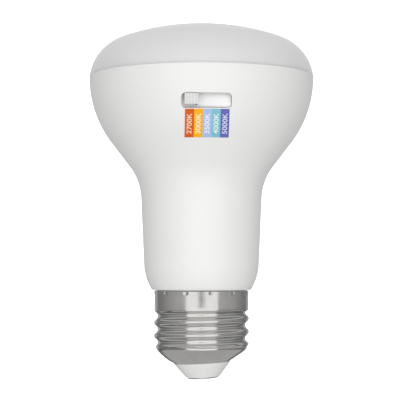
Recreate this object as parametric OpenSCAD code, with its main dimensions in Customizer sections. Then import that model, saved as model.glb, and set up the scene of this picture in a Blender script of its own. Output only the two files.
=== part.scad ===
// Reflector light bulb with a screw base and a five-step colour selector on its side.
// The origin is the lowest point of the centre contact. +Z runs up the axis to the lens,
// and the selector faces -Y, drawn at its first step, at the -X end of its slot.

/* [Housing] */
// Largest diameter of the flare, just under the lens
bulb_d = 62.2; // [61.8:0.1:62.6]
// Height of the seam between housing and lens above the contact tip
seam_z = 83.7; // [83.6:0.1:84.0]
// Height of the widest point of the flare
widest_z = 83.4; // [83.2:0.1:83.5]
// Radius of the convex upper flare
flare_r = 29.5; // [29:0.1:30]
// Steepest slope of the flare, from the axis
flare_angle = 37.5; // [37:0.1:38.5]
// Radius of the concave curve between flare and neck
fillet_r = 15.4; // [14.5:0.1:16]
// Radius of the neck at neck_z
neck_r = 16.7; // [16.5:0.05:16.9]
// Height at which neck_r is measured
neck_z = 50; // [49:0.5:51]
// Slope of the neck, in degrees
neck_taper = 2.5; // [2:0.1:3]
// Radius of the curve at the foot of the neck
foot_r = 15; // [14.5:0.1:15.5]
// Height at which the foot curve starts
foot_z = 31.8; // [31:0.1:32.5]
// Height of the housing's lower lip
lip_z = 24.6; // [24.5:0.05:24.7]
// Wall thickness of the housing
wall = 1.4; // [1.3:0.05:1.45]

/* [Lens] */
// Height of the lens above its seam
lens_h = 14.4; // [14:0.1:15]
// Radius of the lens's crown
crown_r = 68; // [66:0.5:70]
// Radius of the lens's shoulder
shoulder_r = 12.5; // [12:0.1:13.5]
// Wall thickness of the lens
lens_wall = 1.3; // [1:0.1:1.5]

/* [Screw base] */
// Diameter over the thread crests, an E26 base
thread_d = 26.3; // [26.1:0.05:26.35]
// Thread pitch, seven turns to the inch
thread_pitch = 3.629; // [3.6:0.001:3.66]
// Depth of the rolled thread
thread_depth = 1.0; // [0.9:0.05:1.05]
// Height at which the thread starts above the lower cone
thread_z0 = 8.9; // [8.8:0.05:9]
// Height at which the thread ends in the plain collar
thread_z1 = 19.3; // [19.2:0.05:19.4]
// Diameter of the plain collar above the thread
collar_d = 26.1; // [26:0.05:26.15]
// Height of the collar's upper edge
collar_z1 = 24.4; // [24.3:0.05:24.5]
// Thickness of the rolled sheet
sheet = 0.35; // [0.3:0.05:0.4]
// Number of crimps that lock the shell to the housing
crimps = 12; // [8:1:14]

/* [Selector] */
// Width of the selector's window
slot_w = 13.1; // [13:0.1:13.4]
// Height of the selector's window
slot_h = 3.9; // [3.8:0.05:4]
// Height of the window's centre
slot_z = 74.1; // [74:0.05:74.15]
// Width of the knob
knob_w = 3.5; // [3.3:0.1:4]
// Height of the knob
knob_h = 2.9; // [2.7:0.05:2.95]
// Height of the knob's middle
knob_z = 74.4; // [74.3:0.05:74.45]
// Number of stops
stops = 5; // [5:1:5]
// Distance between stops
stop_pitch = 2; // [1.9:0.05:2]
// Width of the printed scale under the window
label_w = 11.6; // [11:0.1:12]
// How far the colour scale stands to the right of the slot's middle
label_x = 0.2; // [0:0.05:0.3]
// Height of the printed scale
label_h = 7.05; // [6.8:0.05:7.2]

/* [Light engine] */
// Diameter of the LED board
led_board_d = 53; // [52:0.5:54]
// LEDs in the outer ring, warm and cool by turns
outer_leds = 12; // [8:2:12]
// LEDs in the inner ring, warm and cool by turns
inner_leds = 6; // [4:2:6]

/* [Driver] */
// Width of the driver board in the neck
board_w = 24; // [23:0.5:24]
// Thickness of the driver board
board_t = 1.2; // [1:0.1:1.2]

/* [Hidden] */
$fn = 96;

// Outline of the housing: three arcs, tangent to the cone and the neck between them.
flare_c = [bulb_d / 2 - flare_r, widest_z];
cone_n = [cos(flare_angle), -sin(flare_angle)];
cone_t = [-sin(flare_angle), -cos(flare_angle)];
neck_n = [cos(neck_taper), -sin(neck_taper)];
fillet_free = flare_c + (flare_r + fillet_r) * cone_n;
cone_l = (fillet_r - (fillet_free - [neck_r, neck_z]) * neck_n) / (cone_t * neck_n);
fillet_c = fillet_free + cone_l * cone_t;
foot_c = [neck_r - (neck_z - foot_z) * tan(neck_taper), foot_z] - foot_r * neck_n;
// Radius of the flare's surface at height z, a depth d below its outside.
function flare_at(z, d = 0) = flare_c[0] + sqrt((flare_r - d) ^ 2 - (widest_z - z) ^ 2);

// Levels of the light engine, from the heat sink's plate up.
plate_z = 78;
plate_t = 1.4;
pad_t = 0.2;
led_board_z = plate_z + plate_t + pad_t;
led_board_t = 1;
led_z = led_board_z + led_board_t;
led_size = [3.5, 2.8, 0.7];
outer_ring_r = 19;
inner_ring_r = 11;
board_screw_r = 22;
sink_gap = 0.2;
sink_wall = 1.2;
sink_z0 = 58;

// Spigot of the housing, inside the screw shell.
spigot_z0 = 10.5;
spigot_upper_r = 12.5;
spigot_lower_r = 11.6;
spigot_bore_r = 10.6;
crimp_z = 23.85;
// Angle of the first crimp about +Z, from +X
crimp_start = -81.4;
// Mean radius and height of the shell's curl into the lower cone, and the foot of that cone
shell_foot_r = 12.6;
shell_foot_z = 8.5;
// Radius of the contact's hollow stem and of the insulator's hole for it
stem_r = 1.3;
crimp_groove_r = 12.1;
collar_r = collar_d / 2;
root_r = thread_d / 2 - thread_depth;
insulator_z = 4.77;
insulator_r = 7.7;
tip_r = 4.3;
tip_h = 0.6;
neutral_groove = [1.4, 1.4, 6];

// Driver board and what it carries, as x and z on the board. Its front faces -Y.
board_y = 3;
board_back = board_y + board_t;
board_z0 = 27;
board_z1 = 72;
tail_w = 17;
tail_z0 = 15;
lead_r = 0.3;
lead_hole_r = 0.4;
resistor_x = -5;
resistor_z = [17, 25];
varistor_at = [4.5, 21.5];
film_at = [5.6, 33.5];
film_size = [10, 9, 5];
bulk_at = [-5.2, 30];
bulk_size = [5, 16];
output_at = [-6, 50];
output_size = [3.15, 11];
choke_at = [5.5, 46];
choke_r = 4.8;
choke_h = 9;
header_x = [for (i = [0:3]) (i - 1.5) * 2.54];
header_y = 1.6;
header_leg_z = 68.6;
wire_pads = [for (i = [0:3]) [(i - 1.5) * 1.5, 64]];
// Straight leads as x and z, and leads that bend from the end of a part that lies on the board.
straight_leads = [
    [varistor_at[0] - 2.5, varistor_at[1]], [varistor_at[0] + 2.5, varistor_at[1]],
    [film_at[0] - 3.75, film_at[1]], [film_at[0] + 3.75, film_at[1]],
    [choke_at[0] - 3, choke_at[1]], [choke_at[0] + 3, choke_at[1]],
];
// Each bent lead: x, y of the part's axis, z of the part's end, z of the hole.
bent_leads = [
    [resistor_x, 1, resistor_z[0], resistor_z[0] - 1.1],
    [resistor_x, 1, resistor_z[1], resistor_z[1] + 1.1],
    [bulk_at[0] - 2.5, -2.5, bulk_at[1], bulk_at[1] - 1.3],
    [bulk_at[0] + 2.5, -2.5, bulk_at[1], bulk_at[1] - 1.3],
    [output_at[0] - 1.25, -0.5, output_at[1], output_at[1] - 1.2],
    [output_at[0] + 1.25, -0.5, output_at[1], output_at[1] - 1.2],
];
resistor_spots = [[-8, 33], [-8, 37], [-8, 41], [7, 34], [7, 38], [0, 52], [5, 56], [-5, 56]];
capacitor_spots = [[-3, 30], [3, 30], [8, 50], [-8, 50]];
transistor_spots = [[-4, 62], [4, 62]];

// Selector: depths from the axis, as y.
travel = (stops - 1) * stop_pitch;
rest_x = -travel / 2;
stop_x = [for (i = [0:stops - 1]) rest_x + i * stop_pitch];
floor_y = -27.1;
flange_y = -25.4;
cover_y = -24.6;
base_y = -21.9;
switch_board_y = -21;
switch_board_t = 1;
switch_z = [71, 75.6];
switch_half_w = 7.6;
cover_t = 0.3;
run_gap = 0.15;
knob_gap = 0.3;
knob_face_y = -30.6;
bezel_top = slot_z + slot_h / 2 + 0.55;
bridge_z = [bezel_top + knob_gap, bezel_top + knob_gap + 0.6];
stem_y = -23.3;
stem_w = 1.4;
throw_z = 74.3;
common_z = 72.3;
post_x = 10.5;
label_t = 0.15;
label_top = slot_z - slot_h / 2 - 0.25;

// ---- shared shapes ----

function arc(c, r, a0, a1, n) =
    [for (i = [0:n]) let (a = a0 + (a1 - a0) * i / n) c + r * [cos(a), sin(a)]];

// Where a circle about a and a circle about b cross, on the outer side.
function crossing(a, ra, b, rb) =
    let (d = norm(b - a), u = (b - a) / d, m = (ra ^ 2 - rb ^ 2 + d ^ 2) / (2 * d))
    a + m * u + sqrt(ra ^ 2 - m ^ 2) * [u[1], -u[0]];

// Half section of the space inside the housing's outline, a depth d below its surface.
module within(d, z0, z1) {
    side = concat(
        arc(flare_c, flare_r - d, 4, -flare_angle, 14),
        arc(fillet_c, fillet_r + d, 180 - flare_angle, 180 - neck_taper, 8),
        arc(foot_c, foot_r - d, -neck_taper, -40, 8)
    );
    intersection() {
        polygon(concat([[0, side[0][1]]], side, [[0, side[len(side) - 1][1]]]));
        translate([0, z0]) square([bulb_d, z1 - z0]);
    }
}

module revolve_within(d, z0, z1) rotate_extrude() within(d, z0, z1);

// Rounded rectangle that is drawn with true arcs.
module rounded_rect(w, h, r) {
    square([w - 2 * r, h], center = true);
    square([w, h - 2 * r], center = true);
    for (x = [-1, 1], y = [-1, 1]) translate([x * (w / 2 - r), y * (h / 2 - r)]) circle(r);
}

// A block given by its two corners.
module block(a, b) translate(a) cube(b - a);

// A round bar from y0 to y1 at x and z.
module bar_y(x, y0, y1, z, r) translate([x, y1, z]) rotate([90, 0, 0]) cylinder(h = y1 - y0, r = r);

function unit(v) = v / norm(v);

function bezier(p, n) = [for (i = [0:n]) let (t = i / n, s = 1 - t)
    p[0] * s ^ 3 + 3 * p[1] * s ^ 2 * t + 3 * p[2] * s * t ^ 2 + p[3] * t ^ 3];

// A round wire along a path. side is any direction that the path never takes.
module wire(path, r, side, sides = 8) {
    n = len(path) - 1;
    points = [for (i = [0:n]) let (
        t = unit(path[min(i + 1, n)] - path[max(i - 1, 0)]),
        u = unit(cross(side, t)),
        v = cross(t, u)
    ) for (k = [0:sides - 1]) path[i] + r * (cos(360 * k / sides) * u + sin(360 * k / sides) * v)];
    faces = concat(
        [[for (k = [0:sides - 1]) k]],
        [for (i = [0:n - 1], k = [0:sides - 1]) let (m = (k + 1) % sides)
            [i * sides + k, (i + 1) * sides + k, (i + 1) * sides + m, i * sides + m]],
        [[for (k = [sides - 1:-1:0]) n * sides + k]]
    );
    polyhedron(points, faces, convexity = 4);
}

// ---- lens ----

crown_c = [0, seam_z + lens_h - crown_r];
shoulder_c = crossing([bulb_d / 2, seam_z], shoulder_r, crown_c, crown_r - shoulder_r);
shoulder_top = atan2(shoulder_c[1] - crown_c[1], shoulder_c[0]);
skirt_r = flare_at(seam_z, wall) - 0.3;

// Half section of the space under the lens's surface, a depth d below it.
module under_lens(d, z0) intersection() {
    side = concat(
        arc(shoulder_c, shoulder_r - d, 5, shoulder_top, 10),
        arc(crown_c, crown_r - d, shoulder_top, 90, 8)
    );
    polygon(concat([[0, side[0][1]]], side));
    translate([0, z0]) square([bulb_d, lens_h + 9]);
}

module lens_dome() color([0.87, 0.87, 0.87]) rotate_extrude() {
    difference() {
        under_lens(0, seam_z);
        under_lens(lens_wall, seam_z - 1);
    }
    translate([skirt_r - lens_wall, seam_z - 3.8]) square([lens_wall, 4.8]);
    translate([skirt_r - lens_wall, seam_z]) square([bulb_d / 2 - 0.6 - skirt_r + lens_wall, 1]);
}

module lens_adhesive() color([0.95, 0.95, 0.93]) rotate_extrude() difference() {
    within(wall, seam_z - 2.6, seam_z - 0.4);
    translate([0, seam_z - 3]) square([skirt_r, 3]);
}

// ---- housing ----

module spigot() rotate_extrude() difference() {
    union() {
        translate([0, spigot_z0]) square([spigot_lower_r, 14]);
        translate([0, thread_z1]) square([crimp_groove_r, lip_z - thread_z1 + 0.1]);
        translate([0, thread_z1]) square([spigot_upper_r, crimp_z - 0.6 - thread_z1]);
    }
    translate([0, 9]) square([spigot_bore_r, 20]);
}

// Two pairs of ribs that hold the edges of the driver board.
module board_ribs() intersection() {
    revolve_within(wall / 2, lip_z + 0.2, 52);
    for (s = [-1, 1], y = [board_y - 0.8, board_back + 0.1])
        translate([s > 0 ? 11 : -20, y, 25]) cube([9, 0.7, 25]);
}

// Posts on the inside of the flare that carry the switch board.
module switch_posts() intersection() {
    revolve_within(wall / 2, 60, 80);
    for (s = [-1, 1]) bar_y(s * post_x, -30, switch_board_y, slot_z, 2);
}

module housing() color([0.95, 0.95, 0.95]) difference() {
    union() {
        difference() {
            revolve_within(0, lip_z, seam_z);
            revolve_within(wall, lip_z + 1.3, seam_z + 1);
            translate([0, 0, 20]) cylinder(h = 10, r = spigot_bore_r);
        }
        spigot();
        board_ribs();
        switch_posts();
    }
    translate([0, floor_y + 4, slot_z]) rotate([90, 0, 0])
        linear_extrude(12) rounded_rect(slot_w, slot_h, 1);
    for (s = [-1, 1]) bar_y(s * post_x, -25, switch_board_y + 1, slot_z, 0.9);
    translate([spigot_lower_r - 0.8, -neutral_groove[1] / 2, spigot_z0 - 1]) cube(neutral_groove);
}

// ---- light engine ----

module at_board_screws() for (a = [90, 210, 330]) rotate(a) translate([board_screw_r, 0, 0]) children();

module heat_sink() color([0.75, 0.76, 0.78]) difference() {
    rotate_extrude() difference() {
        within(wall + sink_gap, sink_z0, plate_z + plate_t);
        within(wall + sink_gap + sink_wall, sink_z0 - 1, plate_z);
    }
    block([-13.5, -40, 66], [13.5, -12, plate_z]);
    block([-6.2, -1, plate_z - 1], [6.2, 4.2, plate_z + 3]);
    at_board_screws() translate([0, 0, plate_z - 1]) cylinder(h = 4, r = 1);
}

module thermal_pad() color([0.75, 0.78, 0.85]) difference() {
    translate([0, 0, plate_z + plate_t]) cylinder(h = pad_t, r = led_board_d / 2 - 0.5);
    block([-6.2, -1, plate_z], [6.2, 4.2, plate_z + 3]);
    at_board_screws() translate([0, 0, plate_z]) cylinder(h = 4, r = 1.8);
}

module led_board() color([0.93, 0.93, 0.92]) difference() {
    translate([0, 0, led_board_z]) cylinder(h = led_board_t, r = led_board_d / 2);
    for (x = header_x) translate([x, header_y, plate_z]) cylinder(h = 5, r = 0.6);
    at_board_screws() translate([0, 0, plate_z]) cylinder(h = 5, r = 1.4);
}

// Children at every second LED of both rings, the warm ones first.
module at_leds(first) {
    for (i = [first:2:outer_leds - 1]) rotate(180 / outer_leds + 360 * i / outer_leds)
        translate([outer_ring_r, 0, led_z]) children();
    for (i = [first:2:inner_leds - 1]) rotate(360 * i / inner_leds)
        translate([inner_ring_r, 0, led_z]) children();
}

module led_frame() difference() {
    translate([-led_size[1] / 2, -led_size[0] / 2, 0]) cube([led_size[1], led_size[0], led_size[2]]);
    translate([0, 0, 0.3]) linear_extrude(1) rounded_rect(2.1, 2.7, 0.4);
}

module phosphor() translate([0, 0, 0.3]) linear_extrude(led_size[2] - 0.35) rounded_rect(2.1, 2.7, 0.4);

module warm_leds() color([0.96, 0.95, 0.9]) at_leds(0) led_frame();

module warm_phosphor() color([0.95, 0.62, 0.2]) at_leds(0) phosphor();

module cool_leds() color([0.97, 0.97, 0.95]) at_leds(1) led_frame();

module cool_phosphor() color([0.95, 0.88, 0.35]) at_leds(1) phosphor();

module board_screws() color([0.7, 0.7, 0.7]) at_board_screws() difference() {
    union() {
        translate([0, 0, plate_z - 1.5]) cylinder(h = led_z - plate_z + 1.6, r = 0.98);
        translate([0, 0, led_z]) cylinder(h = 1.3, r = 2.1);
    }
    for (a = [0, 90]) rotate(a) translate([-1.2, -0.25, led_z + 0.7]) cube([2.4, 0.5, 1]);
}

module board_socket() color([0.96, 0.95, 0.9]) difference() {
    block([-5.6, header_y - 1.8, led_z], [5.6, header_y + 1.8, led_z + 2.4]);
    for (x = header_x) translate([x, header_y, led_z - 1]) cylinder(h = 5, r = 0.36);
}

// ---- driver ----

module driver_board() color([0.1, 0.35, 0.2]) difference() {
    union() {
        block([-board_w / 2, board_y, board_z0], [board_w / 2, board_back, board_z1]);
        block([-tail_w / 2, board_y, tail_z0], [tail_w / 2, board_back, board_z0 + 0.1]);
    }
    for (p = concat(straight_leads, wire_pads)) bar_y(p[0], board_y - 1, board_back + 1, p[1], lead_hole_r);
    for (p = bent_leads) bar_y(p[0], board_y - 1, board_back + 1, p[3], lead_hole_r);
    for (x = header_x) bar_y(x, board_y - 1, board_back + 1, header_leg_z, lead_hole_r);
}

module header_strip() color([0.12, 0.12, 0.12]) difference() {
    block([-5.2, header_y - 1.2, header_leg_z + 1], [5.2, board_y, header_leg_z + 3.5]);
    for (x = header_x) translate([x, header_y, header_leg_z]) cylinder(h = 5, r = 0.33);
}

// A lead that leaves a part along Z and bends into the board along +Y.
module bent_lead(x, y, z0, z1, r) {
    translate([x, y, min(z0, z1)]) cylinder(h = abs(z0 - z1), r = r);
    translate([x, y, z1]) sphere(r);
    bar_y(x, y, board_back + 0.8, z1, r);
}

module header_pins() color([0.85, 0.75, 0.4])
    for (x = header_x) bent_lead(x, header_y, led_z + 2.2, header_leg_z, 0.32);

module component_leads() color([0.8, 0.8, 0.8]) {
    for (p = straight_leads) bar_y(p[0], board_y - 0.2, board_back + 0.8, p[1], lead_r);
    for (p = bent_leads) bent_lead(p[0], p[1], p[2], p[3], lead_r);
}

module fusible_resistor() color([0.3, 0.45, 0.55]) translate([resistor_x, 1, resistor_z[0]]) {
    length = resistor_z[1] - resistor_z[0];
    cylinder(h = length, r = 1.4);
    for (z = [0, length - 1.8]) translate([0, 0, z]) cylinder(h = 1.8, r = 1.65);
}

module varistor() color([0.15, 0.35, 0.6])
    translate([varistor_at[0], board_y - 0.2 - 3.6, varistor_at[1] - 1.5]) cylinder(h = 3, r = 3.6);

module film_capacitor() color([0.6, 0.15, 0.12])
    block([film_at[0] - film_size[0] / 2, board_y - 0.2 - film_size[1], film_at[1] - film_size[2] / 2],
          [film_at[0] + film_size[0] / 2, board_y - 0.2, film_at[1] + film_size[2] / 2]);

// A can capacitor: sleeve with a rolled groove near its foot and a scored end.
module can_capacitor(r, h) difference() {
    cylinder(h = h, r = r);
    translate([0, 0, 1.6]) rotate_extrude() translate([r + 0.3, 0]) circle(0.7);
    for (a = [0, 60, 120]) rotate(a) translate([-r * 0.6, -0.15, h - 0.25]) cube([r * 1.2, 0.3, 1]);
}

module bulk_capacitor() color([0.15, 0.17, 0.3])
    translate([bulk_at[0], -2.5, bulk_at[1]]) can_capacitor(bulk_size[0], bulk_size[1]);

module output_capacitor() color([0.13, 0.13, 0.15])
    translate([output_at[0], -0.5, output_at[1]]) can_capacitor(output_size[0], output_size[1]);

module choke_core() color([0.25, 0.25, 0.27]) translate([choke_at[0], board_y - 0.2, choke_at[1]])
    rotate([90, 0, 0]) {
        cylinder(h = 1.1, r = choke_r);
        cylinder(h = choke_h, r = 2.2);
        translate([0, 0, choke_h - 1.1]) cylinder(h = 1.1, r = choke_r);
    }

module choke_winding() color([0.75, 0.4, 0.2]) translate([choke_at[0], board_y - 1.35, choke_at[1]])
    rotate([90, 0, 0]) difference() {
        cylinder(h = choke_h - 2.3, r = choke_r - 0.5);
        translate([0, 0, -1]) cylinder(h = choke_h, r = 2.25);
    }

// A chip on the back of the board, with its feet.
module chip(x, z, w, h, t, feet) {
    block([x - w / 2, board_back + 0.1, z - h / 2], [x + w / 2, board_back + 0.1 + t, z + h / 2]);
    pitch = w / feet;
    for (s = [-1, 1], i = [0:feet - 1])
        translate([x - w / 2 + (i + 0.3) * pitch, board_back, z + s * (h / 2 + 0.25) - 0.5])
            cube([0.4 * pitch, 0.3, 1]);
}

module bridge_rectifier() color([0.13, 0.13, 0.13]) chip(-2.6, 20.5, 4.7, 4, 1.5, 2);

module driver_chip() color([0.13, 0.13, 0.13]) chip(0, 40, 4.9, 3.9, 1.5, 4);

module freewheel_diode() color([0.13, 0.13, 0.13]) chip(6, 45, 2.6, 4.3, 2.1, 1);

module channel_transistors() color([0.13, 0.13, 0.13])
    for (p = transistor_spots) chip(p[0], p[1], 2.9, 1.3, 1, 2);

module chip_row(spots, t) for (p = spots)
    block([p[0] - 1, board_back, p[1] - 0.6], [p[0] + 1, board_back + t, p[1] + 0.6]);

module chip_resistors() color([0.15, 0.15, 0.18]) chip_row(resistor_spots, 0.5);

module chip_capacitors() color([0.6, 0.5, 0.38]) chip_row(capacitor_spots, 0.8);

// ---- wires ----

module live_wire() color([0.75, 0.1, 0.1])
    wire(bezier([[0, 0, 8.7], [0, 0, 12], [-1.5, 1, 11], [-2, board_y - 0.6, 16.4]], 14),
        0.55, [1, 0.3, 0]);

// Runs from the board's tail to the spigot's rim and folds up outside it, under the shell.
module neutral_wire() color([0.85, 0.85, 0.85]) {
    fold_x = spigot_lower_r - 0.3;
    path = concat(
        bezier([[6, board_y - 0.6, 16.6], [6, board_y - 0.6, 13], [6.5, 0, 11], [8.5, 0, 9.9]], 10),
        [[9.6, 0, 9.7], [10.5, 0, 9.8], [fold_x - 0.2, 0, 10.2], [fold_x, 0, 10.8], [fold_x, 0, 15]]
    );
    wire(path, 0.3, [0, 1, 0.2]);
}

module switch_wires() color([0.9, 0.9, 0.88]) for (p = wire_pads)
    wire(bezier([[p[0], switch_board_y + switch_board_t + 0.1, 70.9], [p[0], -12, 69.5],
                 [p[0], -9, p[1]], [p[0], board_y - 0.1, p[1]]], 16), 0.5, [1, 0, 0]);

// ---- selector switch ----

module switch_board() color([0.1, 0.35, 0.2]) difference() {
    block([-12.8, switch_board_y, 70.2], [12.8, switch_board_y + switch_board_t, 77.2]);
    for (s = [-1, 1]) bar_y(s * post_x, switch_board_y - 1, switch_board_y + 2, slot_z, 1.1);
    for (p = terminal_spots) bar_y(p[0], switch_board_y - 1, switch_board_y + 2, p[1], 0.35);
}

module switch_screws() color([0.7, 0.7, 0.7]) for (s = [-1, 1]) {
    back = switch_board_y + switch_board_t;
    bar_y(s * post_x, -24, back + 0.1, slot_z, 0.88);
    bar_y(s * post_x, back, back + 1.2, slot_z, 1.7);
}

// The five throws in one row, and both ends of the common rail below them.
terminal_spots = concat([for (x = stop_x) [x, throw_z]],
    [[stop_x[0], common_z], [stop_x[stops - 1], common_z]]);
rail_half = travel / 2 + 0.8;

module switch_base() color([0.35, 0.2, 0.12]) difference() {
    block([-switch_half_w, base_y, switch_z[0]], [switch_half_w, switch_board_y, switch_z[1]]);
    for (p = terminal_spots) bar_y(p[0], base_y - 1, switch_board_y + 1, p[1], 0.3);
    for (x = stop_x) bar_y(x, base_y - 1, base_y + 0.1, throw_z, 0.5);
    block([-rail_half, base_y - 1, common_z - 0.35], [rail_half, base_y + 0.1, common_z + 0.35]);
}

module switch_terminals() color([0.85, 0.85, 0.82]) {
    for (p = terminal_spots) bar_y(p[0], base_y, switch_board_y + switch_board_t + 0.8, p[1], 0.3);
    for (x = stop_x) bar_y(x, base_y - 0.05, base_y + 0.1, throw_z, 0.5);
    block([-rail_half, base_y - 0.05, common_z - 0.35], [rail_half, base_y + 0.1, common_z + 0.35]);
}

detent_z = 72.4;

module switch_cover() color([0.75, 0.75, 0.77]) difference() {
    block([-switch_half_w, cover_y, switch_z[0]], [switch_half_w, base_y, switch_z[1]]);
    block([cover_t - switch_half_w, cover_y + cover_t, switch_z[0] + cover_t],
          [switch_half_w - cover_t, base_y + 1, switch_z[1] - cover_t]);
    block([rest_x - stem_w / 2 - 0.3, stem_y - stem_w / 2 - 0.2, switch_z[1] - 1],
          [-rest_x + stem_w / 2 + 0.3, stem_y + stem_w / 2 + 0.2, switch_z[1] + 1]);
    for (x = stop_x) bar_y(x, cover_y - 1, cover_y + 1, detent_z, 0.35);
}

// Everything below is drawn at the first stop, rest_x.
module switch_slider() color([0.1, 0.1, 0.1]) translate([rest_x, 0, 0]) difference() {
    union() {
        block([-2.6, cover_y + cover_t + run_gap, switch_z[0] + cover_t + run_gap],
              [2.6, base_y - 0.55, switch_z[1] - cover_t - run_gap]);
        block([-stem_w / 2, stem_y - stem_w / 2, switch_z[1] - 1],
            [stem_w / 2, stem_y + stem_w / 2, bridge_z[1]]);
    }
    bar_y(0, cover_y, -22.75, detent_z, 0.47);
}

module wiper_contact() color([0.8, 0.6, 0.3]) translate([rest_x, base_y - 0.55, 0]) {
    block([-0.6, 0, common_z - 0.5], [0.6, 0.2, throw_z + 0.5]);
    for (z = [common_z, throw_z]) translate([0, 0.2, z]) sphere(0.19);
}

module detent_ball() color([0.8, 0.8, 0.8])
    translate([rest_x, cover_y + cover_t + 0.05 + 0.42, detent_z]) sphere(0.42);

module detent_spring() color([0.7, 0.7, 0.7]) {
    turns = 3;
    wire_r = 0.06;
    y0 = -23.34;
    y1 = -22.82;
    path = [for (i = [0:10 * turns]) let (a = 36 * i)
        [rest_x + 0.34 * cos(a), y0 + (y1 - y0) * i / (10 * turns), detent_z + 0.34 * sin(a)]];
    wire(path, wire_r, [0, 1, 0], 6);
}

// The grip in the window, an arm that climbs behind the wall, and a bridge to the slider's stem.
module selector_knob() color([0.93, 0.93, 0.93]) translate([rest_x, 0, 0]) difference() {
    arm_y = [floor_y - knob_gap - 0.55, floor_y - knob_gap];
    grip_z = [knob_z - knob_h / 2, knob_z + knob_h / 2];
    union() {
        block([-knob_w / 2, knob_face_y, grip_z[0]], [knob_w / 2, arm_y[1], grip_z[1]]);
        block([-1.2, arm_y[0], grip_z[1] - 0.5], [1.2, arm_y[1], bridge_z[1]]);
        block([-1.2, arm_y[0], bridge_z[0]], [1.2, stem_y + 1.3, bridge_z[1]]);
    }
    for (x = [-1.2, -0.4, 0.4, 1.2]) block([x - 0.15, knob_face_y - 1, grip_z[0] - 1],
                                          [x + 0.15, knob_face_y + 0.25, grip_z[1] + 1]);
    block([-stem_w / 2 - 0.02, stem_y - stem_w / 2 - 0.02, bridge_z[0] - 1],
          [stem_w / 2 + 0.02, stem_y + stem_w / 2 + 0.02, bridge_z[1] + 1]);
}

// ---- selector trim ----

// The floor of the window. Its top ends behind the wall, where the knob's bridge passes over it.
module switch_bezel() color([0.98, 0.98, 0.98]) {
    fit = 0.1;
    bottom = slot_z - slot_h / 2 + fit;
    half = slot_w / 2 - fit;
    translate([0, flange_y + 0.2, 0]) rotate([90, 0, 0]) linear_extrude(flange_y + 0.2 - floor_y) {
        translate([0, (bottom + bezel_top) / 2]) rounded_rect(2 * half, bezel_top - bottom, 0.9);
        translate([-half, slot_z]) square([2 * half, bezel_top - slot_z]);
    }
    block([-8.5, flange_y, 71.2], [8.5, cover_y, bezel_top]);
}

module scale_label() color([0.95, 0.7, 0.2]) intersection() {
    difference() {
        revolve_within(-label_t, 60, 76);
        revolve_within(0, 59, 77);
    }
    block([label_x - label_w / 2, -40, label_top - label_h], [label_x + label_w / 2, 0, label_top]);
}

// ---- screw base ----

thread_rows = 30;
thread_sides = 48;
// The crest passes the +X side at this height.
thread_phase_z = 17.0;

// Radius of the rolled sheet's outside at height z and angle a. It fades into both ends.
function thread_r(z, a) =
    let (wave = (1 + cos(360 * (z - thread_phase_z) / thread_pitch - a)) / 2,
         low = min(1, (z - thread_z0) / 0.9), high = min(1, (thread_z1 - z) / 0.9),
         plain = z < 14 ? 12.6 : collar_r - 0.03, blend = max(0, min(low, high)))
    plain + (root_r + thread_depth * wave - plain) * blend;

// The rolled thread: an outer and an inner skin, closed by a ring at each end.
module rolled_thread() {
    lap = 0.1;
    rows = thread_rows;
    n = thread_sides;
    z_at = [for (i = [0:rows]) thread_z0 - lap + (thread_z1 - thread_z0 + 2 * lap) * i / rows];
    points = [for (skin = [0, 1], i = [0:rows], j = [0:n - 1])
        let (a = 360 * j / n, r = thread_r(z_at[i], a) - skin * (sheet - 0.05))
        [r * cos(a), r * sin(a), z_at[i]]];
    function at(skin, i, j) = (skin * (rows + 1) + i) * n + j % n;
    walls = [for (i = [0:rows - 1], j = [0:n - 1]) each [
        [at(0, i, j), at(0, i + 1, j), at(0, i + 1, j + 1)],
        [at(0, i, j), at(0, i + 1, j + 1), at(0, i, j + 1)],
        [at(1, i, j), at(1, i + 1, j + 1), at(1, i + 1, j)],
        [at(1, i, j), at(1, i, j + 1), at(1, i + 1, j + 1)],
    ]];
    ends = [for (j = [0:n - 1]) each [
        [at(1, rows, j), at(1, rows, j + 1), at(0, rows, j + 1), at(0, rows, j)],
        [at(1, 0, j), at(0, 0, j), at(0, 0, j + 1), at(1, 0, j + 1)],
    ]];
    polyhedron(points, concat(walls, ends), convexity = 10);
}

// A round punch across the collar at every crimp, from radius r0 to r1.
module crimp_punches(r0, r1, punch_r) for (i = [0:crimps - 1])
    rotate(crimp_start + 360 * i / crimps) translate([r0, 0, crimp_z]) rotate([0, 90, 0])
        cylinder(h = r1 - r0, r = punch_r);

module screw_shell() color([0.72, 0.72, 0.72]) union() {
    difference() {
        union() {
            rotate_extrude() translate([collar_r - sheet - 0.05, thread_z1])
                square([sheet + 0.05, collar_z1 - thread_z1]);
            crimp_punches(collar_r - 0.65, collar_r - 0.2, 0.5);
        }
        crimp_punches(collar_r - 0.45, collar_r + 1, 0.3);
    }
    rolled_thread();
    rotate_extrude() polygon([
        [shell_foot_r + 0.05, thread_z0], [shell_foot_r, shell_foot_z],
        [insulator_r + 0.12, insulator_z], [insulator_r - 0.35, insulator_z],
        [insulator_r - 0.35, insulator_z + 0.3], [shell_foot_r - 0.5, shell_foot_z + 0.1],
        [shell_foot_r - 0.45, thread_z0],
    ]);
}

module base_insulator() color([0.88, 0.88, 0.87]) rotate_extrude() polygon([
    [stem_r, tip_h], [tip_r, tip_h], [insulator_r, insulator_z - 0.1], [insulator_r - 0.45, insulator_z],
    [insulator_r - 0.45, insulator_z + 1], [stem_r, insulator_z + 2.2],
]);

module centre_contact() color([0.75, 0.75, 0.75]) rotate_extrude() {
    dome_r = (tip_r ^ 2 + 0.35 ^ 2) / 0.7;
    rise = asin(tip_r / dome_r);
    difference() {
        union() {
            polygon(concat(arc([0, dome_r], dome_r, -90, rise - 90, 6), [[tip_r, tip_h], [0, tip_h]]));
            square([stem_r, 8]);
        }
        translate([0, 0.8]) square([0.7, 8]);
    }
}

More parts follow.
